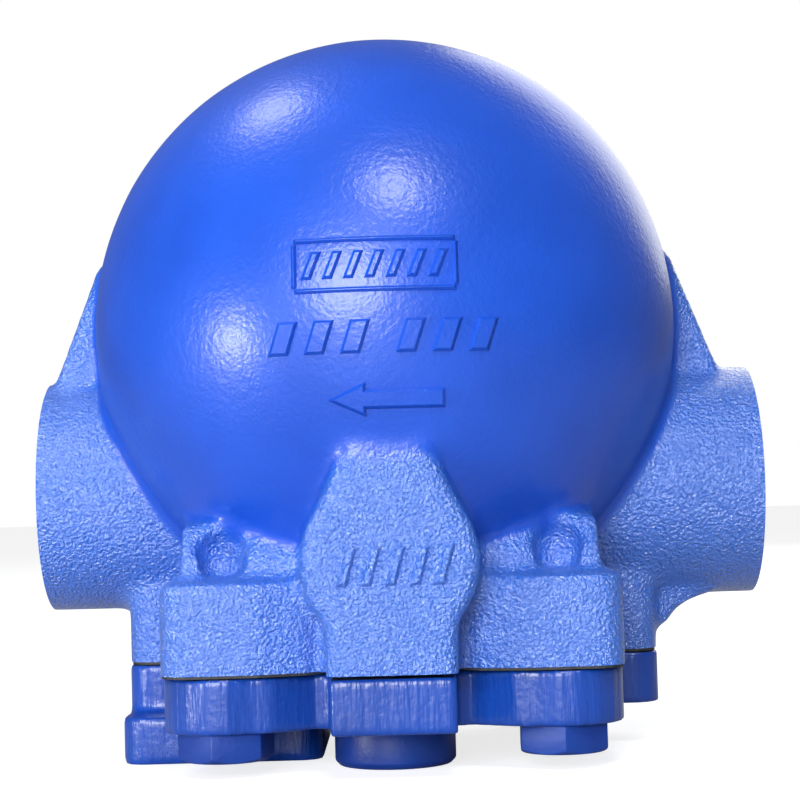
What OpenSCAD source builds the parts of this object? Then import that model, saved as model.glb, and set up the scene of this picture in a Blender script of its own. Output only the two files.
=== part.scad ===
// Ball float steam trap, 1 in screwed, four-bolt cover, working parts carried on the cover.
// Millimetres. +X points out of the inlet, +Z up through the float dome, and the
// origin is the middle of the underside that the trap stands on.

/* [Float dome] */
// Outer radius of the float dome
dome_r = 59; // [57:0.5:60]
// Wall of the dome
dome_wall = 5.5; // [5:0.5:6.5]
// Height of the dome's centre
dome_z = 85.4; // [84:0.2:87]
// Radius of the neck between dome and flange
neck_r = 41; // [40.5:0.5:42]

/* [Ports] */
// Distance between the two port faces
face_to_face = 145; // [143:1:150]
// Distance of the middle between the faces from the dome's axis, towards the inlet
port_shift = 2.3; // [0:0.1:3]
// Outer radius of each port boss
port_r = 23.5; // [22:0.5:24]
// Height of the port axis
port_z = 52.8; // [52:0.2:54]
// Distance of the port axis behind the dome's axis
port_y = 10; // [8:0.5:12]
// Minor radius of the G1 pipe thread
port_thread_r = 15.15; // [15.1:0.05:15.3]
// Depth of the pipe thread
port_depth = 18; // [17:0.5:19]

/* [Joint] */
// Thickness of the cover plate
cover_t = 10.4; // [10.2:0.2:12]
// Height of the body flange above the joint
flange_t = 17; // [16:0.5:18]
// Thickness of the cover gasket
gasket_t = 0.5; // [0.5:0.1:1]
// Radius of the opening that the cover closes
opening_r = 36.5; // [36.2:0.1:37]
// Distance of the cover bolts from the axis, along the pipe
bolt_x = 31.5; // [31:0.25:32.5]
// Distance of the cover bolts from the axis, across the pipe
bolt_y = 35.5; // [35:0.25:36]
// Depth of the hump and bosses under the cover plate
foot_h = 8.2; // [7:0.2:9]
// Height of a cover bolt's head
bolt_head_h = 5.4; // [5:0.1:6.4]
// Width across the flats of a cover bolt's head
bolt_flats = 16; // [16:1:17]

/* [Float] */
// Outer radius of the float
float_r = 31; // [29:0.5:31]
// Wall of the float
float_wall = 1; // [0.8:0.1:1.2]
// Height of the float's centre with the valve shut
float_z = 77.4; // [76:0.2:79]
// Distance of the float in front of the dome's axis with the valve shut
float_front = 13; // [12:0.5:14]

/* [Float lever] */
// Distance of the pivot in front of the dome's axis
pivot_front = 12; // [11.5:0.25:12.5]
// Height of the pivot
pivot_z = 33.6; // [33:0.2:34]
// Radius of the pivot pin
pin_r = 2; // [1.9:0.05:2.1]

/* [Valves] */
// Distance of the main valve in front of the dome's axis
seat_front = 25; // [24.5:0.25:25.5]
// Radius of the main orifice
orifice_r = 2; // [1.5:0.25:2.25]
// Distance of the air vent behind the dome's axis
vent_back = 23; // [22:0.5:24]
// Radius of the vent capsule
capsule_r = 12; // [11:0.5:12]

/* [Hidden] */
$fn = 64;
// Spare length of a cutter past the face it opens
eps = 1;
paint = "#3a62d8";
steel = "#b9bbbf";
dark_steel = "#8d9096";

// Levels of the joint, from the underside up
cover_z = foot_h;
joint_z = cover_z + cover_t;
body_z = joint_z + gasket_t;
flange_top = body_z + flange_t;

// Cover bolts, M10
bolt_r = 5;
bolt_clear_r = 5.5;
bolt_tap_r = 5.05;
bolt_len = 25;
tap_depth = bolt_len - cover_t - gasket_t + 1.6;

// Flange and cover outlines
lug_x = 43.1;
lug_y = 45.3;
lug_in = 22;
lobe_out = 53.6;
lobe_front = 6;
lobe_back = 26;
lobe_corner_r = 5;
skirt_w = 24;
skirt_front = 54;
pad_r = 16.4;
pad_z = 39.4;
bulge_w = 23;

// Discharge passage in the body and cover
slot_x = -46.6;
slot_r = 3.4;
slot_front = 1;
slot_back = 15;
channel_z = 14.4;
channel_r = 2.6;
vent_channel_z = 12.4;
vent_channel_r = 2;

// Hump on the cover's underside over the discharge passage
hump_in = 14;
hump_front = 18;
hump_back = 23;
foot_r = 10.5;

// Plug under the main valve seat
plug_head_r = 11.6;
plug_thread_r = 7;
washer_t = 1;
seat_boss_r = 10.5;
seat_boss_z = joint_z + 5;
seat_thread_r = 5;
seat_flange_z = seat_boss_z + 0.6;
seat_top = seat_flange_z + 4.4;

// Pivot frame
frame_t = 1.5;
ear_x = 8;
frame_front = 15;
frame_back = -2;
lever_w = 8;
lever_t = 2.6;
hub_r = 4.2;
running_gap = 0.05;

// Float fixing
boss_h = 4;
boss_r = 5;
boss_z = float_z - float_r - boss_h + 0.6;
tab_top = boss_z;

// Vent
vent_seat_top = joint_z + 4.5;
vent_nozzle_top = vent_seat_top + 1.5;
capsule_z = vent_nozzle_top + 3.5;
cage_top = capsule_z + 6;
cage_x = capsule_r + 2;

function arc(x, y, r, from, to, steps = 6) =
    [for (i = [0:steps]) let (a = from + (to - from) * i / steps) [x + r * cos(a), y + r * sin(a)]];

module ring(r_out, r_in, h) {
    difference() {
        cylinder(r = r_out, h = h);
        translate([0, 0, -eps]) cylinder(r = r_in, h = h + 2 * eps);
    }
}

module at_bolts() {
    for (x = [-bolt_x, bolt_x], y = [-bolt_y, bolt_y])
        translate([x, y, 0]) children();
}

// Outer edge of the lobe beside the neck, which lies over the discharge passage
function lobe_edge(r = lobe_corner_r) =
    concat(arc(lobe_out - r, r - lobe_front, r, -90, 0), arc(lobe_out - r, lobe_back - r, r, 0, 90));

module side_lobe() {
    polygon(concat([[30, -lobe_front]], lobe_edge(), [[30, lobe_back]]));
}

// Edge of a lug from the neck outwards: square with a faceted inner side on the body and
// gasket, and round on the cover
function body_lug(r = 5) =
    concat([[11, 36], [13, 40.6], [16, 42.6], [25, lug_y]], arc(lug_x - r, lug_y - r, r, 90, 0));
function cover_lug(r = 11) =
    concat([[11, 36], [18, 40.5], [22.5, 43.3]], arc(lug_x - r, lug_y - r, r, 120, 0));

// What the body flange, the gasket and the cover have outside the neck's circle
module flange_ears(lug) {
    for (s = [0, 1]) mirror([s, 0])
        polygon(concat([for (p = lug) [p[0], -p[1]]],
                       [[lug_x, -lug_in - 2], [lug_x - 2, -lug_in], [34, -lug_in], [34, -lobe_front]],
                       lobe_edge(), [[lug_x, lobe_back]],
                       [for (i = [len(lug) - 1:-1:0]) lug[i]]));
}

module discharge_slot() {
    for (y = [slot_front, slot_back])
        translate([slot_x, y]) circle(r = slot_r);
    translate([slot_x - slot_r, slot_front]) square([2 * slot_r, slot_back - slot_front]);
}

// Straight drilled passage between two points of the cover, at height z
module channel(from, to, z, r) {
    run = to - from;
    translate([from[0], from[1], z])
        rotate([0, 0, atan2(run[1], run[0])])
            rotate([0, 90, 0]) cylinder(r = r, h = norm(run));
}

// Filling between the flange and the underside of the dome, at each lug
module neck_fill() {
    front = 38.4;
    inner_x = 14.2;
    outer_x = 39.3;
    translate([inner_x, 0, 0])
        rotate([90, 0, 90])
            linear_extrude(outer_x - inner_x)
                polygon([[-front, flange_top - 1], [-front, 40.4], [5 - front, 47],
                         [-15, 47], [-15, flange_top - 1]]);
}

// Round-topped pocket that leaves room above the end of a cover bolt
module bolt_pocket(r = 4.6, h = 9.6) {
    rotate_extrude() polygon(concat([[0, 0], [r, 0]], arc(0, h - r, r, 0, 84), [[0, h]]));
}

// Port boss, with the wall down to the side lobe and the web up to the dome
module port_side(face_x) {
    web_t = 16;
    web_x = 68.2;
    translate([36, port_y, port_z]) rotate([0, 90, 0]) cylinder(r = port_r, h = face_x - 36);
    translate([0, 0, body_z]) linear_extrude(port_z - body_z) side_lobe();
    translate([0, port_y + web_t / 2, 0]) rotate([90, 0, 0]) linear_extrude(web_t)
        polygon([[40, port_z], [web_x, port_z], [web_x, port_z + port_r + 1],
                 [59.6, 99.5], [52, 108], [40, 108]]);
}

// Swelling under the inlet boss
module inlet_swelling() {
    width = 18;
    bottom = port_z - port_r;
    translate([0, port_y + width / 2, 0]) rotate([90, 0, 0]) linear_extrude(width)
        polygon([[44, port_z], [66, port_z], [66, bottom + 0.4], [61, bottom - 1],
                 [58, bottom - 3], [56, bottom - 6], [44, bottom - 6]]);
}

module chamber() {
    translate([0, 0, dome_z]) sphere(r = dome_r - dome_wall);
    translate([0, 0, body_z - eps]) cylinder(r = opening_r, h = 52 - body_z);
}

// Face of the undrilled drain boss: round below, and narrowing where it runs up the dome
module drain_pad() {
    circle(r = pad_r);
    polygon([[-14.6, 4], [14.6, 4], [13.6, 9], [7.5, 21], [-7.5, 21], [-13.6, 9]]);
}

module body() color(paint) {
    half = face_to_face / 2;
    in_end = half + port_shift - port_depth;
    out_end = half - port_shift - port_depth;
    difference() {
        union() {
            translate([0, 0, dome_z]) sphere(r = dome_r);
            translate([0, 0, body_z]) cylinder(r = neck_r, h = 52 - body_z);
            translate([0, 0, body_z]) linear_extrude(flange_t) flange_ears(body_lug());
            translate([0, -30, pad_z]) rotate([90, 0, 0])
                linear_extrude(skirt_front - 30) drain_pad();
            translate([-skirt_w / 2, -skirt_front, body_z])
                cube([skirt_w, skirt_front - 30, pad_z - body_z]);
            port_side(half + port_shift);
            mirror([1, 0, 0]) port_side(half - port_shift);
            inlet_swelling();
            for (s = [0, 1], t = [0, 1]) mirror([s, 0, 0]) mirror([0, t, 0]) neck_fill();
        }
        chamber();
        // Threads of the ports
        translate([in_end, port_y, port_z]) rotate([0, 90, 0])
            cylinder(r = port_thread_r, h = port_depth + eps);
        translate([-out_end, port_y, port_z]) rotate([0, -90, 0])
            cylinder(r = port_thread_r, h = port_depth + eps);
        // Inlet into the chamber
        translate([36, port_y, port_z]) rotate([0, 90, 0]) cylinder(r = 12, h = in_end - 35);
        // Discharge passage up to the outlet
        translate([0, 0, body_z - eps]) linear_extrude(port_z - body_z) discharge_slot();
        translate([-out_end - eps, port_y - 2, port_z - 5]) rotate([0, 90, 0])
            cylinder(r = 8, h = out_end + slot_x + eps);
        // Tapped holes for the cover bolts
        at_bolts() {
            translate([0, 0, body_z - eps]) cylinder(r = bolt_tap_r, h = tap_depth + eps);
            translate([0, 0, flange_top + 0.4]) bolt_pocket();
        }
    }
}

module hump_outline() {
    r = lobe_corner_r;
    x_out = r - lobe_out;
    x_in = -hump_in - r;
    y_front = r - hump_front;
    y_back = hump_back - r;
    polygon(concat(arc(x_out, y_front, r, 180, 270), arc(x_in, y_front, r, 270, 360),
                   arc(x_in, y_back, r, 0, 90), arc(x_out, y_back, r, 90, 180)));
}

module cover() color(paint) {
    difference() {
        union() {
            translate([0, 0, cover_z]) cylinder(r = neck_r, h = cover_t);
            translate([0, 0, cover_z]) linear_extrude(cover_t) {
                flange_ears(cover_lug());
                translate([-bulge_w / 2, -skirt_front + 1.6]) square([bulge_w, 20]);
            }
            // Hump over the discharge passage, and the boss under the vent that is level with it
            linear_extrude(cover_z + eps) hump_outline();
            translate([0, vent_back, 0]) cylinder(r = foot_r, h = cover_z + eps);
            // Raised boss inside for the main valve seat
            translate([0, -seat_front, joint_z - eps])
                cylinder(r = seat_boss_r, h = seat_boss_z - joint_z + eps);
        }
        at_bolts() translate([0, 0, cover_z - eps])
            cylinder(r = bolt_clear_r, h = cover_t + 2 * eps);
        // Plug bore, seat chamber and seat thread, one above the other
        translate([0, -seat_front, cover_z - eps]) cylinder(r = plug_thread_r, h = 4.6 + eps);
        translate([0, -seat_front, cover_z + 4]) cylinder(r = 5.6, h = 6.6);
        translate([0, -seat_front, cover_z + 10]) cylinder(r = seat_thread_r, h = 10);
        // Vent bore
        translate([0, vent_back, vent_channel_z - vent_channel_r - 0.4]) cylinder(r = 4, h = 12);
        // Passages to the discharge slot
        channel([0, -seat_front], [slot_x, slot_front], channel_z, channel_r);
        channel([0, vent_back], [slot_x, slot_back], vent_channel_z, vent_channel_r);
        translate([0, 0, cover_z + 0.8]) linear_extrude(cover_t) discharge_slot();
        // Tapped holes for the frame and cage screws
        frame_screw_places() translate([0, 0, joint_z - 7]) cylinder(r = 2, h = 8);
        cage_screw_places() translate([0, 0, joint_z - 3.6]) cylinder(r = 1.5, h = 8);
    }
}

// Cut slightly smaller than the flanges, by this factor
module cover_gasket() color("#3b3b3d") {
    inset = 0.992;
    translate([0, 0, joint_z]) difference() {
        scale(inset) {
            cylinder(r = neck_r, h = gasket_t / inset);
            linear_extrude(gasket_t / inset) flange_ears(body_lug());
        }
        translate([0, 0, -eps]) cylinder(r = opening_r, h = gasket_t + 2 * eps);
        translate([0, 0, -eps]) linear_extrude(gasket_t + 2 * eps) discharge_slot();
        at_bolts() translate([0, 0, -eps]) cylinder(r = bolt_clear_r, h = gasket_t + 2 * eps);
    }
}

module cover_bolts() color(paint) {
    flat_r = bolt_flats / 2;
    chamfer = 1.1;
    // Each bolt is tightened to its own angle
    for (bolt = [[-1, -1, -12], [1, -1, -2], [-1, 1, 17], [1, 1, -25]])
        translate([bolt[0] * bolt_x, bolt[1] * bolt_y, cover_z - bolt_head_h]) {
            intersection() {
                rotate([0, 0, bolt[2]])
                    cylinder(r = bolt_flats / sqrt(3), h = bolt_head_h, $fn = 6);
                // Chamfer on the corners of the head
                rotate_extrude() polygon([[0, 0], [flat_r - 0.2, 0], [flat_r + 1.6, chamfer],
                                          [flat_r + 1.6, bolt_head_h], [0, bolt_head_h]]);
            }
            cylinder(r = bolt_r, h = bolt_head_h + bolt_len);
        }
}

module valve_plug() color(paint) {
    hex_r = 5 / sqrt(3) * 2;
    translate([0, -seat_front, 0]) difference() {
        union() {
            rotate_extrude() polygon([[0, 0], [plug_head_r - 1, 0], [plug_head_r, 1],
                                      [plug_head_r, cover_z - washer_t], [0, cover_z - washer_t]]);
            cylinder(r = plug_thread_r, h = cover_z + 3.6);
        }
        translate([0, 0, -eps]) cylinder(r = hex_r, h = 5 + eps, $fn = 6);
    }
}

module plug_washer() color("#9a9da2") {
    translate([0, -seat_front, cover_z - washer_t]) ring(plug_head_r - 0.6, plug_thread_r, washer_t);
}

module valve_seat() color(steel) {
    translate([0, -seat_front, 0]) difference() {
        union() {
            translate([0, 0, cover_z + 11]) cylinder(r = seat_thread_r, h = seat_top - cover_z - 11.4);
            translate([0, 0, seat_flange_z]) cylinder(r = 8, h = 3.4, $fn = 6);
            translate([0, 0, seat_flange_z]) cylinder(r1 = 6, r2 = 3.6, h = seat_top - seat_flange_z);
        }
        cylinder(r = orifice_r, h = seat_top + eps);
        translate([0, 0, cover_z]) cylinder(r = 3.4, h = joint_z - cover_z + 2);
    }
}

module seat_gasket() color("#9a9da2") {
    translate([0, -seat_front, seat_boss_z]) ring(7, seat_thread_r, seat_flange_z - seat_boss_z);
}

module erosion_sleeve() color(steel) {
    run = [slot_x, slot_front + seat_front];
    translate([0, -seat_front, channel_z]) rotate([0, 0, atan2(run[1], run[0])])
        translate([7.8, 0, 0]) rotate([0, 90, 0]) ring(channel_r, channel_r - 0.7, 9);
}

module frame_screw_places() {
    for (x = [-ear_x + 3, ear_x - 3]) translate([x, -frame_back - 3, 0]) children();
}

module cage_screw_places() {
    for (s = [-1, 1]) translate([s * (cage_x + 3.5), vent_back, 0]) children();
}

module pivot_frame() color(steel) {
    ear_top = pivot_z + 5;
    difference() {
        union() {
            translate([-ear_x - frame_t, -frame_front, joint_z])
                cube([2 * (ear_x + frame_t), frame_front - frame_back, frame_t]);
            for (x = [-ear_x - frame_t, ear_x]) translate([x, 0, 0]) rotate([90, 0, 90])
                linear_extrude(frame_t) polygon([[-frame_front, joint_z], [-frame_front - 2, pivot_z],
                    [-frame_front, ear_top], [-frame_front + 6, ear_top], [-frame_front + 8, pivot_z],
                    [-frame_back - 3, joint_z + frame_t], [-frame_back - 3, joint_z]]);
        }
        translate([-20, -pivot_front, pivot_z]) rotate([0, 90, 0]) cylinder(r = pin_r, h = 40);
        frame_screw_places() cylinder(r = 2.2, h = 40);
        // Relief round the seat boss
        translate([0, -seat_front, joint_z - eps]) cylinder(r = seat_boss_r + 0.5, h = frame_t + 2 * eps);
    }
}

module frame_screws() color(dark_steel) {
    frame_screw_places() {
        translate([0, 0, joint_z - 6]) cylinder(r = 2, h = 6 + frame_t);
        translate([0, 0, joint_z + frame_t]) difference() {
            cylinder(r = 2.8, h = 2);
            translate([-3, -0.4, 1.1]) cube([6, 0.8, 2]);
        }
    }
}

module pivot_pin() color(dark_steel) {
    translate([-ear_x - frame_t - 2, -pivot_front, pivot_z]) rotate([0, 90, 0])
        cylinder(r = pin_r, h = 2 * (ear_x + frame_t + 2));
}

module pin_clips() color(dark_steel) {
    for (s = [0, 1]) mirror([s, 0, 0])
        translate([ear_x + frame_t, -pivot_front, pivot_z]) rotate([0, 90, 0])
            difference() {
                ring(3.6, pin_r, 0.7);
                translate([-1, 1.2, -eps]) cube([2, 4, 3]);
            }
}

// Pressed strap with a hub for the pivot, a short arm to the valve and a long arm to the float
module float_lever() color(steel) {
    hub_w = 2 * (ear_x - 0.5);
    arm_back = pivot_front - hub_r - 0.2;
    difference() {
        union() {
            translate([-hub_w / 2, -pivot_front, pivot_z]) rotate([0, 90, 0])
                cylinder(r = hub_r, h = hub_w);
            translate([-lever_w / 2, -seat_front - 4, pivot_z])
                cube([lever_w, seat_front + 4 - pivot_front, lever_t]);
            translate([-lever_w / 2, -arm_back - lever_t, pivot_z])
                cube([lever_w, lever_t, tab_top - pivot_z]);
            translate([-lever_w / 2, -float_front - 5, tab_top - lever_t])
                cube([lever_w, float_front + 5 - arm_back, lever_t]);
        }
        translate([-20, -pivot_front, pivot_z]) rotate([0, 90, 0])
            cylinder(r = pin_r + running_gap, h = 40);
        translate([0, -seat_front, pivot_z - eps]) cylinder(r = 1.5, h = lever_t + 2 * eps);
        translate([0, -float_front, tab_top - lever_t - eps])
            cylinder(r = 1.5, h = lever_t + 2 * eps);
    }
}

// Part-ball that closes the orifice, riveted under the short arm
module valve_head() color(dark_steel) {
    ball_r = 3.5;
    ball_z = seat_top + sqrt(ball_r * ball_r - orifice_r * orifice_r) + 0.1;
    translate([0, -seat_front, 0]) {
        intersection() {
            translate([0, 0, ball_z]) sphere(r = ball_r);
            cylinder(r = 2 * ball_r, h = ball_z);
        }
        translate([0, 0, ball_z]) cylinder(r = ball_r, h = pivot_z - ball_z);
    }
}

module head_rivet() color(steel) {
    translate([0, -seat_front, pivot_z]) cylinder(r = 1.5, h = lever_t);
    translate([0, -seat_front, pivot_z + lever_t]) rotate_extrude()
        polygon([[0, 0], [2.8, 0], [2.4, 0.9], [1.4, 1.4], [0, 1.4]]);
}

module float_half_profile() {
    difference() {
        circle(r = float_r);
        circle(r = float_r - float_wall);
        translate([-2 * float_r, -float_r]) square([2 * float_r, 2 * float_r]);
    }
}

module float_lower_shell() color(steel) {
    translate([0, -float_front, float_z]) rotate_extrude() intersection() {
        float_half_profile();
        translate([0, -float_r - 1]) square([float_r + 2, float_r + 1]);
    }
}

module float_upper_shell() color(steel) {
    translate([0, -float_front, float_z]) rotate_extrude() intersection() {
        float_half_profile();
        square([float_r + 2, float_r + 1]);
    }
}

module float_weld() color(dark_steel) {
    translate([0, -float_front, float_z]) rotate_extrude()
        polygon([[float_r, -0.9], [float_r + 0.35, -0.4], [float_r + 0.35, 0.4], [float_r, 0.9]]);
}

// Threaded boss welded under the float
module float_boss() color(steel) {
    translate([0, -float_front, 0]) difference() {
        translate([0, 0, boss_z]) cylinder(r = boss_r, h = boss_h);
        translate([0, 0, float_z]) sphere(r = float_r);
        translate([0, 0, boss_z - eps]) cylinder(r = 1.5, h = 2.8 + eps);
    }
}

// Screw up through the lever's tab into the float's boss
module float_screw() color(dark_steel) {
    translate([0, -float_front, 0]) {
        translate([0, 0, tab_top - lever_t]) cylinder(r = 1.5, h = lever_t + 2.6);
        translate([0, 0, tab_top - lever_t - 2]) difference() {
            cylinder(r = 2.5, h = 2);
            translate([-3, -0.35, -eps]) cube([6, 0.7, eps + 0.9]);
        }
    }
}

module vent_seat() color(steel) {
    hex_z = joint_z + 0.6;
    translate([0, vent_back, 0]) difference() {
        union() {
            translate([0, 0, joint_z - 5]) cylinder(r = 4, h = 6);
            translate([0, 0, hex_z]) cylinder(r = 7.5, h = vent_seat_top - hex_z, $fn = 6);
            translate([0, 0, vent_seat_top - 1]) cylinder(r = 3.2, h = vent_nozzle_top - vent_seat_top + 1);
        }
        translate([0, 0, joint_z - 6]) cylinder(r = 1.2, h = 20);
    }
}

module vent_gasket() color("#9a9da2") {
    translate([0, vent_back, joint_z]) ring(6.4, 4, 0.6);
}

// Stamped cage that holds the capsule over its seat
module vent_cage() color(steel) {
    foot = 7;
    half_w = 4.5;
    translate([0, vent_back, 0]) difference() {
        union() {
            translate([-cage_x - foot, -half_w, joint_z]) cube([foot, 2 * half_w, 1]);
            translate([cage_x, -half_w, joint_z]) cube([foot, 2 * half_w, 1]);
            translate([-cage_x - 1, -half_w, joint_z]) cube([1, 2 * half_w, cage_top - joint_z]);
            translate([cage_x, -half_w, joint_z]) cube([1, 2 * half_w, cage_top - joint_z]);
            translate([-cage_x - 1, -half_w, cage_top - 1]) cube([2 * cage_x + 2, 2 * half_w, 1]);
        }
        translate([0, 0, cage_top - 2]) cylinder(r = 3.2, h = 4);
        for (x = [-cage_x - 3.5, cage_x + 3.5]) translate([x, 0, joint_z - 1]) cylinder(r = 1.6, h = 4);
    }
}

module cage_screws() color(dark_steel) {
    cage_screw_places() {
        translate([0, 0, joint_z - 3.4]) cylinder(r = 1.5, h = 4.4);
        translate([0, 0, joint_z + 1]) difference() {
            cylinder(r = 2.4, h = 1.8);
            translate([-3, -0.35, 1]) cube([6, 0.7, 2]);
        }
    }
}

module vent_lower_disc() color(steel) {
    translate([0, vent_back, capsule_z]) rotate_extrude()
        polygon([[2.1, -1.6], [6, -1.6], [8, -0.6], [capsule_r, -0.6], [capsule_r, 0],
                 [7.8, 0], [5.6, -1], [2.1, -1]]);
}

module vent_upper_disc() color(steel) {
    translate([0, vent_back, capsule_z]) rotate_extrude()
        polygon([[1, 1.6], [6, 1.6], [8, 0.6], [capsule_r, 0.6], [capsule_r, 0],
                 [7.8, 0], [5.6, 1], [1, 1]]);
}

module capsule_fill_plug() color(dark_steel) {
    translate([0, vent_back, capsule_z + 1]) cylinder(r = 1, h = 1.6);
    translate([0, vent_back, capsule_z + 1.6]) ring(2, 1, 0.8);
}

// Valve carried under the capsule, drawn clear of its seat as it is when cold
module vent_valve() color(steel) {
    lift = 0.9;
    translate([0, vent_back, vent_nozzle_top + lift]) {
        cylinder(r1 = 1.6, r2 = 2.6, h = 0.7);
        translate([0, 0, 0.7]) cylinder(r = 2.1 - running_gap, h = 1.6);
    }
}

// Bowed leaf spring between the top of the cage and the capsule
module vent_clip() color(dark_steel) {
    strip_t = 0.4;
    crown = capsule_z + 2.6;
    bar = cage_top - 1;
    translate([0, vent_back + 2.5, 0]) rotate([90, 0, 0]) linear_extrude(5)
        polygon([[-12, bar], [-8, bar], [0, crown + strip_t], [8, bar], [12, bar],
                 [12, bar - strip_t], [8, bar - strip_t], [0, crown],
                 [-8, bar - strip_t], [-12, bar - strip_t]]);
}

// The parts are drawn round the dome's axis, and the origin is midway between the ports
module from_axis() {
    translate([-port_shift, 0, 0]) children();
}

from_axis() body();
from_axis() cover();
from_axis() cover_gasket();
from_axis() cover_bolts();
from_axis() valve_plug();
from_axis() plug_washer();
from_axis() valve_seat();
from_axis() seat_gasket();
from_axis() erosion_sleeve();
from_axis() pivot_frame();
from_axis() frame_screws();
from_axis() pivot_pin();
from_axis() pin_clips();
from_axis() float_lever();
from_axis() valve_head();
from_axis() head_rivet();
from_axis() float_lower_shell();
from_axis() float_upper_shell();
from_axis() float_weld();
from_axis() float_boss();
from_axis() float_screw();
from_axis() vent_seat();
from_axis() vent_gasket();
from_axis() vent_cage();
from_axis() cage_screws();
from_axis() vent_lower_disc();
from_axis() vent_upper_disc();
from_axis() capsule_fill_plug();
from_axis() vent_valve();
from_axis() vent_clip();
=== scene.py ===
"""Ball float steam trap: blue enamelled iron casting, bolted cover, stainless works inside."""

import math

import bmesh
import bpy
from mathutils import Matrix, Vector, noise


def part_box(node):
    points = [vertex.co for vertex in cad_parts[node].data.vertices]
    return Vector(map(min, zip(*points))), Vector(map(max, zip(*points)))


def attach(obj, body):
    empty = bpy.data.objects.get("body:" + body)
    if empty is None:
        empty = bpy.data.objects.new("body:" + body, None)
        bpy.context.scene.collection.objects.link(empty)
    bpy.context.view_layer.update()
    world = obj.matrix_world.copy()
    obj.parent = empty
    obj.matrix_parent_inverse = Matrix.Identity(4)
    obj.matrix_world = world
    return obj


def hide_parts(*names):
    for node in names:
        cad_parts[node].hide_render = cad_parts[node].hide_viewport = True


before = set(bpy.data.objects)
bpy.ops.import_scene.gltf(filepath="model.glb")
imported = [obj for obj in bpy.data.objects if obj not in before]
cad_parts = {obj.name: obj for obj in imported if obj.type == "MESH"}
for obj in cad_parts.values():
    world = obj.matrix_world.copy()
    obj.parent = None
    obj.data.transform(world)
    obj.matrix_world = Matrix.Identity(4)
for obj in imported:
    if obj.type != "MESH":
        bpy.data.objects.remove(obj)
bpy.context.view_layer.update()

MM = 0.001


def mm(*values):
    return Vector(values) * MM


# Places and sizes that the CAD parts' boxes don't give, in metres
AXIS_X = -2.3 * MM
DOME_R = 59 * MM
DOME_CENTRE = Vector((AXIS_X, 0, 85.4 * MM))
NECK_R = 41 * MM
PORT_AXIS = mm(0, 10, 52.8)
THREAD_MINOR = 15.15 * MM
THREAD_MAJOR = 16.6 * MM
THREAD_PITCH = 2.309 * MM
THREAD_DEPTH = 18 * MM
FACE_X = 72.5 * MM
JOINT_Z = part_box("cover_gasket")[1].z
DRAIN_PAD_Y = -54 * MM
BOLT_X = 31.5 * MM
BOLT_Y = 35.5 * MM
BOLT_FLATS = 16 * MM
BOLT_HEAD = 5.4 * MM
BOLT_PITCH = 1.5 * MM


# ---------------------------------------------------------------- meshes

def new_object(name, bm):
    """Makes an object from a bmesh, with its place left in the mesh."""
    mesh = bpy.data.meshes.new(name)
    bm.to_mesh(mesh)
    bm.free()
    obj = bpy.data.objects.new(name, mesh)
    bpy.context.scene.collection.objects.link(obj)
    return obj


def cad_copy(node):
    """A welded bmesh copy of a CAD node."""
    bm = bmesh.new()
    bm.from_mesh(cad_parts[node].data)
    bmesh.ops.remove_doubles(bm, verts=bm.verts, dist=1e-6)
    return bm


def apply_modifiers(obj):
    """Leaves the object with the mesh that its modifiers make."""
    depsgraph = bpy.context.evaluated_depsgraph_get()
    mesh = bpy.data.meshes.new_from_object(obj.evaluated_get(depsgraph))
    obj.modifiers.clear()
    old, obj.data = obj.data, mesh
    bpy.data.meshes.remove(old)


def cast_skin(obj, voxel, rounds):
    """Rounds every edge as a sand mould does: a voxel skin, relaxed."""
    remesh = obj.modifiers.new("skin", "REMESH")
    remesh.mode = "VOXEL"
    remesh.voxel_size = voxel
    relax = obj.modifiers.new("relax", "SMOOTH")
    relax.factor = 0.5
    relax.iterations = rounds
    apply_modifiers(obj)


def boolean(obj, other, operation):
    """Cuts or joins with another closed mesh, which is then gone."""
    mod = obj.modifiers.new("boolean", "BOOLEAN")
    mod.object = other
    mod.operation = operation
    mod.solver = "MANIFOLD"
    apply_modifiers(obj)
    bpy.data.objects.remove(other)


def outward(bm):
    bmesh.ops.remove_doubles(bm, verts=bm.verts, dist=1e-7)
    bmesh.ops.recalc_face_normals(bm, faces=bm.faces)


def block(name, low, high):
    """A plain cutter between two corners."""
    bm = bmesh.new()
    bmesh.ops.create_cube(bm, size=1)
    size = high - low
    bmesh.ops.scale(bm, vec=size, verts=bm.verts)
    bmesh.ops.translate(bm, vec=(low + high) / 2, verts=bm.verts)
    return new_object(name, bm)


def lathe(profile, steps=64, axis=(0, 0, 1), centre=(0, 0, 0)):
    """A turned solid. profile is (radius, height) in metres from one end of the axis to the other."""
    bm = bmesh.new()
    verts = [bm.verts.new((r, 0, h)) for r, h in profile]
    edges = [bm.edges.new(pair) for pair in zip(verts, verts[1:])]
    bmesh.ops.spin(bm, geom=verts + edges, cent=(0, 0, 0), axis=(0, 0, 1), angle=2 * math.pi,
                   steps=steps, use_merge=True)
    outward(bm)
    turn = Vector((0, 0, 1)).rotation_difference(Vector(axis)).to_matrix().to_4x4()
    bm.transform(Matrix.Translation(centre) @ turn)
    return bm


def shade_by_angle(obj, limit=0.6):
    """Smooth faces, with an edge left sharp where two meet at more than the limit, in radians."""
    bm = bmesh.new()
    bm.from_mesh(obj.data)
    for face in bm.faces:
        face.smooth = True
    for edge in bm.edges:
        edge.smooth = edge.is_boundary or edge.calc_face_angle(0) < limit
    bm.to_mesh(obj.data)
    bm.free()


# ---------------------------------------------------------------- materials

def linear(hex_colour):
    """An sRGB hex colour as linear RGBA."""
    channels = [int(hex_colour[i:i + 2], 16) / 255 for i in (1, 3, 5)]
    return [c / 12.92 if c <= 0.04045 else ((c + 0.055) / 1.055) ** 2.4 for c in channels] + [1]


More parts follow.
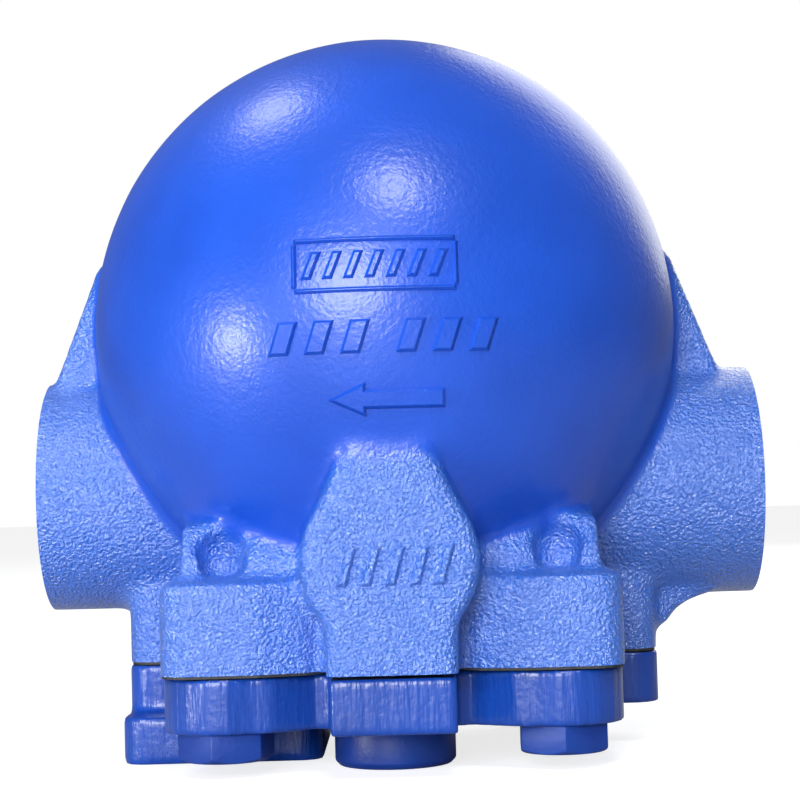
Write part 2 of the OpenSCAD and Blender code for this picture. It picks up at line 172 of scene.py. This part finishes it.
def add(tree, kind, links=None, **settings):
    """Adds a node, sets its properties and unlinked sockets, and links the others."""
    node = tree.nodes.new(kind)
    for key, value in settings.items():
        setattr(node, key, value)
    for socket, value in (links or {}).items():
        if isinstance(value, bpy.types.NodeSocket):
            tree.links.new(value, node.inputs[socket])
        else:
            node.inputs[socket].default_value = value
    return node


def material(name):
    """An empty node material with its shader and its Object coordinates."""
    mat = bpy.data.materials.new(name)
    mat.use_nodes = True
    tree = mat.node_tree
    tree.nodes.clear()
    shader = add(tree, "ShaderNodeBsdfPrincipled")
    add(tree, "ShaderNodeOutputMaterial", {"Surface": shader.outputs["BSDF"]})
    place = add(tree, "ShaderNodeTexCoord").outputs["Object"]
    return mat, tree, shader, place


def per_mm(size):
    """Noise scale that gives features of that many millimetres."""
    return 1 / (size * MM)


def ramp(tree, factor, low, high, dark, light):
    node = add(tree, "ShaderNodeValToRGB", {"Fac": factor})
    node.color_ramp.elements[0].position = low
    node.color_ramp.elements[0].color = dark
    node.color_ramp.elements[1].position = high
    node.color_ramp.elements[1].color = light
    return node.outputs["Color"]


def off_the_dome(tree, place):
    """0 on the dome's ball and 1 where the casting stands clear of it."""
    on_it = 0.9 * MM
    clear_of_it = 2.4 * MM
    arm = add(tree, "ShaderNodeVectorMath", {0: place, 1: DOME_CENTRE}, operation="SUBTRACT")
    reach = add(tree, "ShaderNodeVectorMath", {0: arm.outputs["Vector"]}, operation="LENGTH")
    off = add(tree, "ShaderNodeMath", {0: reach.outputs["Value"], 1: DOME_R},
              operation="SUBTRACT")
    off = add(tree, "ShaderNodeMath", {0: off.outputs["Value"]}, operation="ABSOLUTE")
    mask = add(tree, "ShaderNodeMapRange", {"Value": off.outputs["Value"],
                                            "From Min": on_it, "From Max": clear_of_it})
    return mask.outputs["Result"]


def enamel(name, deep, bright, grain_mm, grain, peel, roughness, varnish, stretch=1, sand_grit_and_sheen=False):
    """Gloss blue enamel, sprayed on metal. Orange peel breaks up its highlights, and stretch draws
    the grain out upright, as a grinder's marks are. On a sand casting the dome stays dressed and
    the grit of the mould sparkles through the enamel everywhere else, where the base colour is also
    mixed to a lighter blue as painted sheen. grain and peel are how deep the two go, in millimetres."""
    mat, tree, shader, place = material(name)
    drift = add(tree, "ShaderNodeTexNoise", {"Vector": place, "Scale": per_mm(22), "Detail": 3})
    colour = ramp(tree, drift.outputs["Fac"], 0.3, 0.7, linear(deep), linear(bright))
    drawn = add(tree, "ShaderNodeMapping", {"Vector": place, "Scale": (1, 1, 1 / stretch)})
    grit = add(tree, "ShaderNodeTexNoise",
               {"Vector": drawn.outputs["Vector"], "Scale": per_mm(grain_mm), "Detail": 2,
                "Roughness": 0.5})
    skin = add(tree, "ShaderNodeTexNoise", {"Vector": place, "Scale": per_mm(1.3), "Detail": 2})
    coarse = add(tree, "ShaderNodeBump", {"Height": grit.outputs["Fac"], "Strength": 1,
                                          "Distance": grain * MM})
    fine = add(tree, "ShaderNodeBump", {"Height": skin.outputs["Fac"], "Strength": 1,
                                        "Distance": peel * MM,
                                        "Normal": coarse.outputs["Normal"]})
    tree.links.new(colour, shader.inputs["Base Color"])
    tree.links.new(fine.outputs["Normal"], shader.inputs["Normal"])
    tree.links.new(fine.outputs["Normal"], shader.inputs["Coat Normal"])
    shader.inputs["Roughness"].default_value = roughness
    shader.inputs["IOR"].default_value = 1.5
    shader.inputs["Coat Weight"].default_value = varnish
    shader.inputs["Coat Roughness"].default_value = 0.2
    if sand_grit_and_sheen:
        grit_and_sheen_mask = off_the_dome(tree, place)
        grit_depth = add(tree, "ShaderNodeMapRange", {"Value": grit_and_sheen_mask, "To Min": 0.08, "To Max": 1})
        coat_depth = add(tree, "ShaderNodeMapRange",
                         {"Value": grit_and_sheen_mask, "To Min": 0.12, "To Max": varnish})
        # Off the dome the base colour is mixed to a lighter blue: a painted sheen for the grit's
        # glints
        grit_painted_sheen_colour = add(tree, "ShaderNodeMix", {0: grit_and_sheen_mask, 6: colour, 7: linear("#2468d2")},
                     data_type="RGBA")
        tree.links.new(grit_painted_sheen_colour.outputs[2], shader.inputs["Base Color"])
        tree.links.new(grit_depth.outputs["Result"], coarse.inputs["Strength"])
        tree.links.new(coat_depth.outputs["Result"], shader.inputs["Coat Weight"])
        shader.inputs["Coat IOR"].default_value = 2
    return mat


def metal(name, dark, light, roughness, scratch_mm, depth_mm):
    """Bare metal with fine tool marks or grain."""
    mat, tree, shader, place = material(name)
    cloud = add(tree, "ShaderNodeTexNoise", {"Vector": place, "Scale": per_mm(6), "Detail": 4})
    marks = add(tree, "ShaderNodeTexNoise",
                {"Vector": place, "Scale": per_mm(scratch_mm), "Detail": 3})
    colour = ramp(tree, cloud.outputs["Fac"], 0.35, 0.65, linear(dark), linear(light))
    bump = add(tree, "ShaderNodeBump", {"Height": marks.outputs["Fac"], "Strength": 1,
                                        "Distance": depth_mm * MM})
    spread = add(tree, "ShaderNodeMapRange", {"Value": cloud.outputs["Fac"],
                                              "To Min": roughness - 0.06,
                                              "To Max": roughness + 0.08})
    tree.links.new(colour, shader.inputs["Base Color"])
    tree.links.new(spread.outputs["Result"], shader.inputs["Roughness"])
    tree.links.new(bump.outputs["Normal"], shader.inputs["Normal"])
    shader.inputs["Metallic"].default_value = 1
    return mat


# Enamel on a sand casting: glossy, smooth on the dressed dome and full of glinting grit elsewhere,
# where a lighter base colour is also painted in as sheen
BODY_ENAMEL = enamel("enamel_on_cast_body", "#0c47b8", "#1450c8", grain_mm=0.62, grain=0.8,
                     peel=0.09, roughness=0.36, varnish=1, sand_grit_and_sheen=True)
# The same paint on a ground edge, with upright streaks; its deeper blue is painted shade
COVER_ENAMEL_PAINTED_SHADE = enamel("enamel_on_ground_cover_painted_shade", "#083a92", "#0f45a8", grain_mm=1.1, grain=0.2,
                      peel=0.1, roughness=0.32, varnish=0.25, stretch=9)
# A thin coat over turned steel, half dull and nearly smooth; its darkest blue is painted shade
BOLT_ENAMEL_PAINTED_SHADE = enamel("enamel_on_bolts_painted_shade", "#052f86", "#0c3f9a", grain_mm=1.5, grain=0.04,
                     peel=0.06, roughness=0.45, varnish=0)
# Bare iron, in the ports' threads, in the chamber and on the cover's joint face: dark grey
THREAD_METAL = metal("machined_ductile_iron", "#3c3b3a", "#6b6966", roughness=0.42,
                     scratch_mm=0.4, depth_mm=0.02)
# Pressed sheet keeps the mill's bright finish
STAINLESS = metal("pressed_stainless", "#a9a8a4", "#c9c8c4", roughness=0.26,
                  scratch_mm=0.25, depth_mm=0.006)
# Turned and hardened pieces are a shade darker
HARD_STAINLESS = metal("turned_stainless", "#8b8a88", "#b3b2ae", roughness=0.3,
                       scratch_mm=0.2, depth_mm=0.01)
# A weld bead is rippled, and browned by heat
WELD_METAL = metal("weld_bead", "#6d665c", "#a39d92", roughness=0.4,
                   scratch_mm=0.5, depth_mm=0.06)
# Plain steel, grey and half dull, on the washers and the bolts' shanks
WASHER_METAL = metal("dull_steel_washer", "#77777a", "#9a9a9c", roughness=0.5,
                     scratch_mm=0.3, depth_mm=0.015)


def graphite():
    """Laminated graphite sheet: dark, dull, with a slightly flaky cut edge."""
    mat, tree, shader, place = material("graphite_sheet")
    flakes = add(tree, "ShaderNodeTexNoise", {"Vector": place, "Scale": per_mm(0.8), "Detail": 4})
    colour = ramp(tree, flakes.outputs["Fac"], 0.3, 0.75, linear("#1c1c1f"), linear("#3a3a3d"))
    bump = add(tree, "ShaderNodeBump", {"Height": flakes.outputs["Fac"], "Strength": 1,
                                        "Distance": 0.05 * MM})
    tree.links.new(colour, shader.inputs["Base Color"])
    tree.links.new(bump.outputs["Normal"], shader.inputs["Normal"])
    shader.inputs["Roughness"].default_value = 0.6
    return mat


GRAPHITE = graphite()


def coat(obj, *materials):
    obj.data.materials.clear()
    for mat in materials:
        obj.data.materials.append(mat)


# ---------------------------------------------------------------- body casting

def extend(bm, normal, level, reach):
    """Lengthens the mesh past a machined face, so that the face can be cut crisp later."""
    flat = [f for f in bm.faces if f.normal.dot(normal) > 0.999
            and abs(f.calc_center_median().dot(normal) - level) < 0.05 * MM]
    made = bmesh.ops.extrude_face_region(bm, geom=flat)["geom"]
    moved = [v for v in made if isinstance(v, bmesh.types.BMVert)]
    bmesh.ops.translate(bm, vec=normal * reach, verts=moved)
    bmesh.ops.delete(bm, geom=flat, context="FACES_ONLY")


def port_plug(side):
    """Fills a port's bore before the casting is skinned."""
    radius = 20 * MM
    length = 22 * MM
    inner_end = mm(side * 55, 0, 0)
    return lathe([(0, 0), (radius, 0), (radius, length), (0, length)], 48, (side, 0, 0),
                 PORT_AXIS + inner_end)


def threaded_rod(minor, major, pitch, start, turns, steps):
    """A rod with a helical thread along +X, from start onwards, closed at both ends."""
    flank = pitch * 0.4
    profile = []
    for turn in range(turns):
        low = start + turn * pitch
        profile += [(minor, low), (major, low + flank), (major, low + pitch - flank)]
    profile.append((minor, start + turns * pitch))
    bm = bmesh.new()
    verts = [bm.verts.new((x, 0, r)) for r, x in profile]
    edges = [bm.edges.new(pair) for pair in zip(verts, verts[1:])]
    bmesh.ops.spin(bm, geom=verts + edges, cent=(0, 0, 0), axis=(1, 0, 0), angle=2 * math.pi,
                   dvec=(-pitch / steps, 0, 0), steps=steps, use_merge=False)
    bmesh.ops.remove_doubles(bm, verts=bm.verts, dist=1e-6)
    bmesh.ops.holes_fill(bm, edges=[e for e in bm.edges if e.is_boundary], sides=0)
    bmesh.ops.triangulate(bm, faces=[f for f in bm.faces if len(f.verts) > 4])
    bmesh.ops.recalc_face_normals(bm, faces=bm.faces)
    return bm


def thread_cutter(side):
    """The G1 pipe thread, as the solid that it takes out of the port."""
    turns_past_face = 4
    bm = threaded_rod(THREAD_MINOR, THREAD_MAJOR, THREAD_PITCH, FACE_X - THREAD_DEPTH,
                      int(THREAD_DEPTH / THREAD_PITCH) + turns_past_face, steps=72)
    if side < 0:
        bm.transform(Matrix.Rotation(math.pi, 4, "Z"))
    bm.transform(Matrix.Translation(PORT_AXIS))
    return new_object("thread_cutter", bm)


def lead_in(side):
    """The chamfer at a port's mouth."""
    deep = 1.6 * MM
    past = 3 * MM
    mouth = THREAD_MAJOR + 0.7 * MM
    bm = lathe([(0, -deep), (THREAD_MINOR, -deep), (mouth, 0), (mouth, past), (0, past)], 72,
               (side, 0, 0), PORT_AXIS + Vector((side * FACE_X, 0, 0)))
    return new_object("lead_in", bm)


def clamp(value):
    return min(max(value, 0), 1)


def true_up_dome(obj):
    """The dome's pattern is a turned ball, so its skin is brought back to one radius wherever it
    faces straight out. The strip where that fades is relaxed again, and a slow wander of a few
    hundredths of a millimetre is left everywhere."""
    skin_r = DOME_R - 0.05 * MM
    near_mm, near_fade_mm = 0.25, 0.6
    facing_from, facing_fade = 0.96, 0.035
    slow_mm, slow_depth = 14, 0.045
    quick_mm, quick_depth = 5, 0.015
    sink = 0.03
    relax_rounds = 5
    bm = bmesh.new()
    bm.from_mesh(obj.data)
    bm.normal_update()
    fading = []
    moves = {}
    for v in bm.verts:
        arm = v.co - DOME_CENTRE
        out = arm.normalized()
        near = 1 - clamp((abs(arm.length - DOME_R) / MM - near_mm) / near_fade_mm)
        facing = clamp((v.normal.dot(out) - facing_from) / facing_fade)
        hold = near * facing
        moves[v] = out * (skin_r - arm.length) * hold
        if 0.01 < hold < 0.99:
            fading.append(v)
    for v, move in moves.items():
        v.co += move
    for _ in range(relax_rounds):
        bmesh.ops.smooth_vert(bm, verts=fading, factor=0.5, use_axis_x=True, use_axis_y=True,
                              use_axis_z=True)
    for v in bm.verts:
        slow = noise.noise(v.co / (slow_mm * MM)) * slow_depth
        quick = noise.noise(v.co / (quick_mm * MM)) * quick_depth
        v.co += (v.co - DOME_CENTRE).normalized() * (slow + quick - sink) * MM
    bm.to_mesh(obj.data)
    bm.free()


def slice_up(bm, pitch):
    """Cuts a mark into small squares, so that it can bend. The nudge keeps a cut off its edges."""
    reach = 12
    nudge = 0.01 * MM
    for step in range(-reach, reach + 1):
        for normal in (Vector((1, 0, 0)), Vector((0, 0, 1))):
            spot = normal * (step * pitch + nudge)
            if normal.z:
                spot.z += DOME_CENTRE.z
            bmesh.ops.bisect_plane(bm, geom=bm.verts[:] + bm.edges[:] + bm.faces[:], dist=1e-7,
                                   plane_co=spot, plane_no=normal)


def mark(outline, low, high, bend):
    """A closed raised mark with drafted sides and a soft top, bent onto the dome's front or laid
    on the drain boss. The outline is in millimetres from the dome's axis, and up. It is drawn one
    unit deep, with its shoulder part of the way, and then given its height."""
    draft = 0.5 * MM
    shoulder = 0.55
    square = 2.5 * MM
    bm = bmesh.new()
    face = bm.faces.new([bm.verts.new((x * MM, 0, z * MM)) for x, z in outline])
    made = bmesh.ops.extrude_face_region(bm, geom=[face])["geom"]
    rim = [v for v in made if isinstance(v, bmesh.types.BMVert)]
    bmesh.ops.translate(bm, vec=(0, -1, 0), verts=rim)
    outward(bm)
    bmesh.ops.inset_region(bm, faces=[f for f in bm.faces if f.normal.y < -0.9],
                           thickness=draft, use_even_offset=True)
    for v in bm.verts:
        if v.co.y < -0.9 and v not in rim:
            v.co.y = -shoulder
    if bend:
        slice_up(bm, square)
    for v in bm.verts:
        height = (low + (high - low) * -v.co.y) * MM
        if bend:
            rise = v.co.z - DOME_CENTRE.z
            v.co.y = -math.sqrt((DOME_R + height) ** 2 - v.co.x ** 2 - rise ** 2)
        else:
            v.co.y = DRAIN_PAD_Y - height
        v.co.x += AXIS_X
    bmesh.ops.triangulate(bm, faces=bm.faces)
    bmesh.ops.recalc_face_normals(bm, faces=bm.faces)
    return new_object("mark", bm)


def bar(x, z, width, height, lean=0):
    """Corners of a plain bar round its middle, anticlockwise, with its top leaning to the right."""
    w, h, shift = width / 2, height / 2, lean / 2
    return [(x - w - shift, z - h), (x + w - shift, z - h), (x + w + shift, z + h),
            (x - w + shift, z + h)]


def cast_marks():
    """Raised foundry marks: a framed row of slanted bars, a row of slanted blocks, the flow arrow
    and, on the drain boss, another row of slanted bars. None is a letter."""
    lean = 2
    sunk = -0.6
    frame_x, frame_z, wide, high, rib = -1.2, 92.5, 29, 9.1, 0.9
    side = high - rib - 0.3
    outlines = [bar(frame_x, frame_z + high / 2, wide, rib),
                bar(frame_x, frame_z - high / 2, wide, rib),
                bar(frame_x - wide / 2, frame_z, rib, side),
                bar(frame_x + wide / 2, frame_z, rib, side)]
    bar_pitch, bar_wide, bar_high = 3.8, 1.8, 5
    outlines += [bar(frame_x + step * bar_pitch, frame_z, bar_wide, bar_high, lean)
                 for step in range(-3, 4)]
    row_z, block_wide, block_high = 79.6, 3.6, 6
    outlines += [bar(at, row_z, block_wide, block_high, lean)
                 for at in (-18, -11.5, -5, 5, 11.5, 18)]
    tip, barb, tail = -10.2, -3.4, 10.8
    arrow_z, barb_low, barb_high, shaft_low, shaft_high = 68.4, 65.3, 71.5, 66.7, 70.1
    outlines.append([(tip, arrow_z), (barb, barb_low), (barb, shaft_low), (tail, shaft_low),
                     (tail, shaft_high), (barb, shaft_high), (barb, barb_high)])
    marks = [mark(outline, sunk, 0.75, True) for outline in outlines]
    boss_x, boss_z, boss_pitch, boss_wide, boss_high = 1, 38.6, 4.4, 2, 7
    marks += [mark(bar(boss_x + step * boss_pitch, boss_z, boss_wide, boss_high, lean), sunk,
                   0.8, False) for step in range(-2, 3)]
    return marks


def body_casting():
    """The body: skinned over spare metal on its three faces, then machined, threaded and marked."""
    spare = 3 * MM
    bm = cad_copy("body")
    bm.normal_update()
    extend(bm, Vector((0, 0, -1)), -JOINT_Z, spare)
    for side in (-1, 1):
        extend(bm, Vector((side, 0, 0)), FACE_X, spare)
    for side in (-1, 1):
        plug = port_plug(side)
        mesh = bpy.data.meshes.new("plug")
        plug.to_mesh(mesh)
        plug.free()
        bm.from_mesh(mesh)
        bpy.data.meshes.remove(mesh)
    obj = new_object("trap_body", bm)
    cast_skin(obj, 1.15 * MM, 11)
    true_up_dome(obj)
    far = 90 * MM
    boolean(obj, block("below_joint", Vector((-far, -far, 0)), Vector((far, far, JOINT_Z))),
            "DIFFERENCE")
    for side in (-1, 1):
        low = Vector((FACE_X if side > 0 else -far, -far, 0))
        high = Vector((far if side > 0 else -FACE_X, far, far * 2))
        boolean(obj, block("past_face", low, high), "DIFFERENCE")
        boolean(obj, thread_cutter(side), "DIFFERENCE")
        boolean(obj, lead_in(side), "DIFFERENCE")
    for piece in cast_marks():
        boolean(obj, piece, "UNION")
    shade_by_angle(obj)
    coat(obj, BODY_ENAMEL, THREAD_METAL)
    for face in obj.data.polygons:
        c = face.center
        radial = math.hypot(c.y - PORT_AXIS.y, c.z - PORT_AXIS.z)
        threaded = radial < THREAD_MAJOR + 0.75 * MM and abs(c.x) > FACE_X - THREAD_DEPTH - 1 * MM
        inside = ((c - DOME_CENTRE).length < DOME_R - 2 * MM
                  and math.hypot(c.x - AXIS_X, c.y) < NECK_R - 1 * MM)
        face.material_index = int(threaded or inside)
    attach(obj, "housing")
    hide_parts("body")


def cover_casting():
    """The cover, painted outside, with its joint face and the inside of the chamber bare."""
    obj = new_object("trap_cover", cad_copy("cover"))
    cast_skin(obj, 0.7 * MM, 3)
    shade_by_angle(obj, 0.9)
    # The outside takes the body's enamel darkened as painted shade
    coat(obj, COVER_ENAMEL_PAINTED_SHADE, THREAD_METAL)
    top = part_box("cover_gasket")[0].z
    for face in obj.data.polygons:
        c = face.center
        inside = math.hypot(c.x - AXIS_X, c.y) < NECK_R - 4 * MM and c.z > top - 5 * MM
        face.material_index = int(inside or c.z > top - 0.25 * MM)
    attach(obj, "housing")
    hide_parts("cover")


# ---------------------------------------------------------------- small parts

def eased(node, width):
    """A copy of a machined CAD piece with its sharp edges broken, by a width in millimetres."""
    bm = cad_copy(node)
    bmesh.ops.dissolve_limit(bm, angle_limit=0.01, verts=bm.verts, edges=bm.edges)
    sharp = [e for e in bm.edges if e.calc_face_angle(0) > 0.7]
    bmesh.ops.bevel(bm, geom=sharp, offset=width * MM, offset_type="OFFSET", segments=2,
                    profile=0.5, affect="EDGES", clamp_overlap=True)
    obj = new_object(node + "_eased", bm)
    shade_by_angle(obj, 0.5)
    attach(obj, "housing")
    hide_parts(node)
    return obj


def hex_head(turn):
    """A cover bolt's head, with its corners chamfered off underneath."""
    across = BOLT_FLATS / 2
    chamfer = 1.1 * MM
    face_r = across - 0.3 * MM
    corner_r = across + 1.6 * MM
    bm = bmesh.new()
    bmesh.ops.create_cone(bm, cap_ends=True, segments=6, radius1=BOLT_FLATS / math.sqrt(3),
                          radius2=BOLT_FLATS / math.sqrt(3), depth=BOLT_HEAD)
    bmesh.ops.rotate(bm, cent=(0, 0, 0), matrix=Matrix.Rotation(turn, 3, "Z"), verts=bm.verts)
    bmesh.ops.translate(bm, vec=(0, 0, BOLT_HEAD / 2), verts=bm.verts)
    obj = new_object("hex_head", bm)
    past = 1 * MM
    cone = lathe([(0, 0), (face_r, 0), (corner_r, chamfer), (corner_r, BOLT_HEAD + past),
                  (0, BOLT_HEAD + past)], 96)
    boolean(obj, new_object("chamfer", cone), "INTERSECT")
    bevel = obj.modifiers.new("edges", "BEVEL")
    bevel.width = 0.16 * MM
    bevel.segments = 2
    bevel.angle_limit = math.radians(25)
    apply_modifiers(obj)
    return obj


def cover_bolts():
    """The four bolts, each tightened to its own angle, in degrees. Their shanks are bare."""
    low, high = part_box("cover_bolts")
    core = 5 * MM
    shank_r = core - 0.1 * MM
    root_r = core - 0.9 * MM
    tip_r = core - 1.6 * MM
    sunk = 0.5 * MM
    neck = 7 * MM
    length = high.z - low.z - BOLT_HEAD
    turns = int((length - neck - 1 * MM) / BOLT_PITCH)
    bm = bmesh.new()
    for x, y, turn in ((-1, -1, -12), (1, -1, -2), (-1, 1, 17), (1, 1, -25)):
        bolt = hex_head(math.radians(turn))
        shank = lathe([(0, -sunk), (shank_r, -sunk), (shank_r, neck), (root_r, neck + 0.6 * MM),
                       (root_r, length - 0.8 * MM), (tip_r, length), (0, length)], 48,
                      (0, 0, 1), (0, 0, BOLT_HEAD))
        thread = threaded_rod(core - 0.85 * MM, core - 0.02 * MM, BOLT_PITCH,
                              BOLT_HEAD + neck + BOLT_PITCH, turns - 1, 40)
        thread.transform(Matrix.Rotation(-math.pi / 2, 4, "Y"))
        boolean(bolt, new_object("shank", shank), "UNION")
        boolean(bolt, new_object("thread", thread), "UNION")
        bolt.data.transform(Matrix.Translation((AXIS_X + x * BOLT_X, y * BOLT_Y, low.z)))
        bm.from_mesh(bolt.data)
        bpy.data.objects.remove(bolt)
    obj = new_object("hex_bolts", bm)
    shade_by_angle(obj, 0.5)
    # The heads take the body's enamel darkened as painted shade
    coat(obj, BOLT_ENAMEL_PAINTED_SHADE, WASHER_METAL)
    for face in obj.data.polygons:
        face.material_index = int(face.center.z > low.z + BOLT_HEAD + 0.1 * MM)
    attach(obj, "housing")
    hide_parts("cover_bolts")


def socket_plug():
    """The round plug under the main valve, painted like the bolts."""
    obj = eased("valve_plug", 0.5)
    # The plug takes the bolts' enamel, darkened as painted shade
    coat(obj, BOLT_ENAMEL_PAINTED_SHADE)


def dress_cad_nodes():
    """The works inside and the seals keep their CAD shape, each with its own finish."""
    finishes = {
        "cover_gasket": GRAPHITE, "plug_washer": WASHER_METAL, "seat_gasket": WASHER_METAL,
        "vent_gasket": WASHER_METAL, "float_weld": WELD_METAL,
    }
    hard = {"valve_head", "pivot_pin", "pin_clips", "head_rivet", "float_screw", "frame_screws",
            "cage_screws", "capsule_fill_plug", "vent_clip", "vent_valve"}
    for name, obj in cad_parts.items():
        coat(obj, finishes.get(name, HARD_STAINLESS if name in hard else STAINLESS))


# ---------------------------------------------------------------- stage, light and camera

def stage():
    """A floor that shows pale to the camera and throws little light back up at the trap."""
    mat, tree, shader, place = material("pale_floor")
    mottle = add(tree, "ShaderNodeTexNoise", {"Vector": place, "Scale": 3})
    colour = ramp(tree, mottle.outputs["Fac"], 0, 1, linear("#b4b5b8"), linear("#bcbdc0"))
    seen = add(tree, "ShaderNodeLightPath").outputs["Is Camera Ray"]
    glow = add(tree, "ShaderNodeMath", {0: seen, 1: 0.78}, operation="MULTIPLY")
    tree.links.new(colour, shader.inputs["Base Color"])
    tree.links.new(glow.outputs["Value"], shader.inputs["Emission Strength"])
    shader.inputs["Emission Color"].default_value = (1, 1, 1, 1)
    shader.inputs["Roughness"].default_value = 0.6
    bm = bmesh.new()
    bmesh.ops.create_grid(bm, x_segments=2, y_segments=2, size=6)
    floor = new_object("floor", bm)
    coat(floor, mat)


def light(name, place, target, size, power):
    """A round lamp turned to its target, its size in metres and its power in watts."""
    lamp = bpy.data.lights.new(name, "AREA")
    lamp.shape = "DISK"
    lamp.size = size
    lamp.energy = power
    obj = bpy.data.objects.new(name, lamp)
    obj.location = place
    obj.rotation_euler = (Vector(target) - Vector(place)).to_track_quat("-Z", "Y").to_euler()
    bpy.context.scene.collection.objects.link(obj)


def lights():
    """A white room that lights the trap less than it shows to the camera, three lamps that make
    the highlights on the dome, a soft light in front on the left, and a weaker one behind."""
    world = bpy.data.worlds.new("studio")
    world.use_nodes = True
    tree = world.node_tree
    seen = add(tree, "ShaderNodeLightPath").outputs["Is Camera Ray"]
    strength = add(tree, "ShaderNodeMapRange", {"Value": seen, "To Min": 0.2, "To Max": 1.0})
    background = tree.nodes["Background"]
    background.inputs["Color"].default_value = (1, 1, 1, 1)
    tree.links.new(strength.outputs["Result"], background.inputs["Strength"])
    bpy.context.scene.world = world
    middle = DOME_CENTRE
    light("behind_left", middle + Vector((-0.415, 0.204, 0.887)), middle, size=0.26, power=1.9)
    light("top", middle + Vector((0.085, -0.646, 0.759)), middle, size=0.26, power=3.6)
    light("left", middle + Vector((-0.50, -0.33, -0.05)), middle, size=0.12, power=1.5)
    light("soft_front", middle + Vector((-0.24, -1.05, 0.24)), middle, size=0.5, power=10.5)
    light("soft_back", middle + Vector((0.55, 1.1, 0.6)), middle, size=0.9, power=5)


def camera():
    data = bpy.data.cameras.new("camera")
    data.lens = 93.15
    data.sensor_width = 36
    data.clip_start = 0.01
    obj = bpy.data.objects.new("camera", data)
    tilt = math.radians(90 + 2.77)
    roll = math.radians(-1.6)
    turn = Matrix.Rotation(tilt, 4, "X") @ Matrix.Rotation(roll, 4, "Z")
    obj.matrix_world = Matrix.Translation(mm(0.4, -425, 50.3)) @ turn
    bpy.context.scene.collection.objects.link(obj)
    bpy.context.scene.camera = obj


bpy.context.scene.view_settings.view_transform = "Standard"
camera()
lights()
stage()
dress_cad_nodes()
body_casting()
cover_casting()
cover_bolts()
socket_plug()
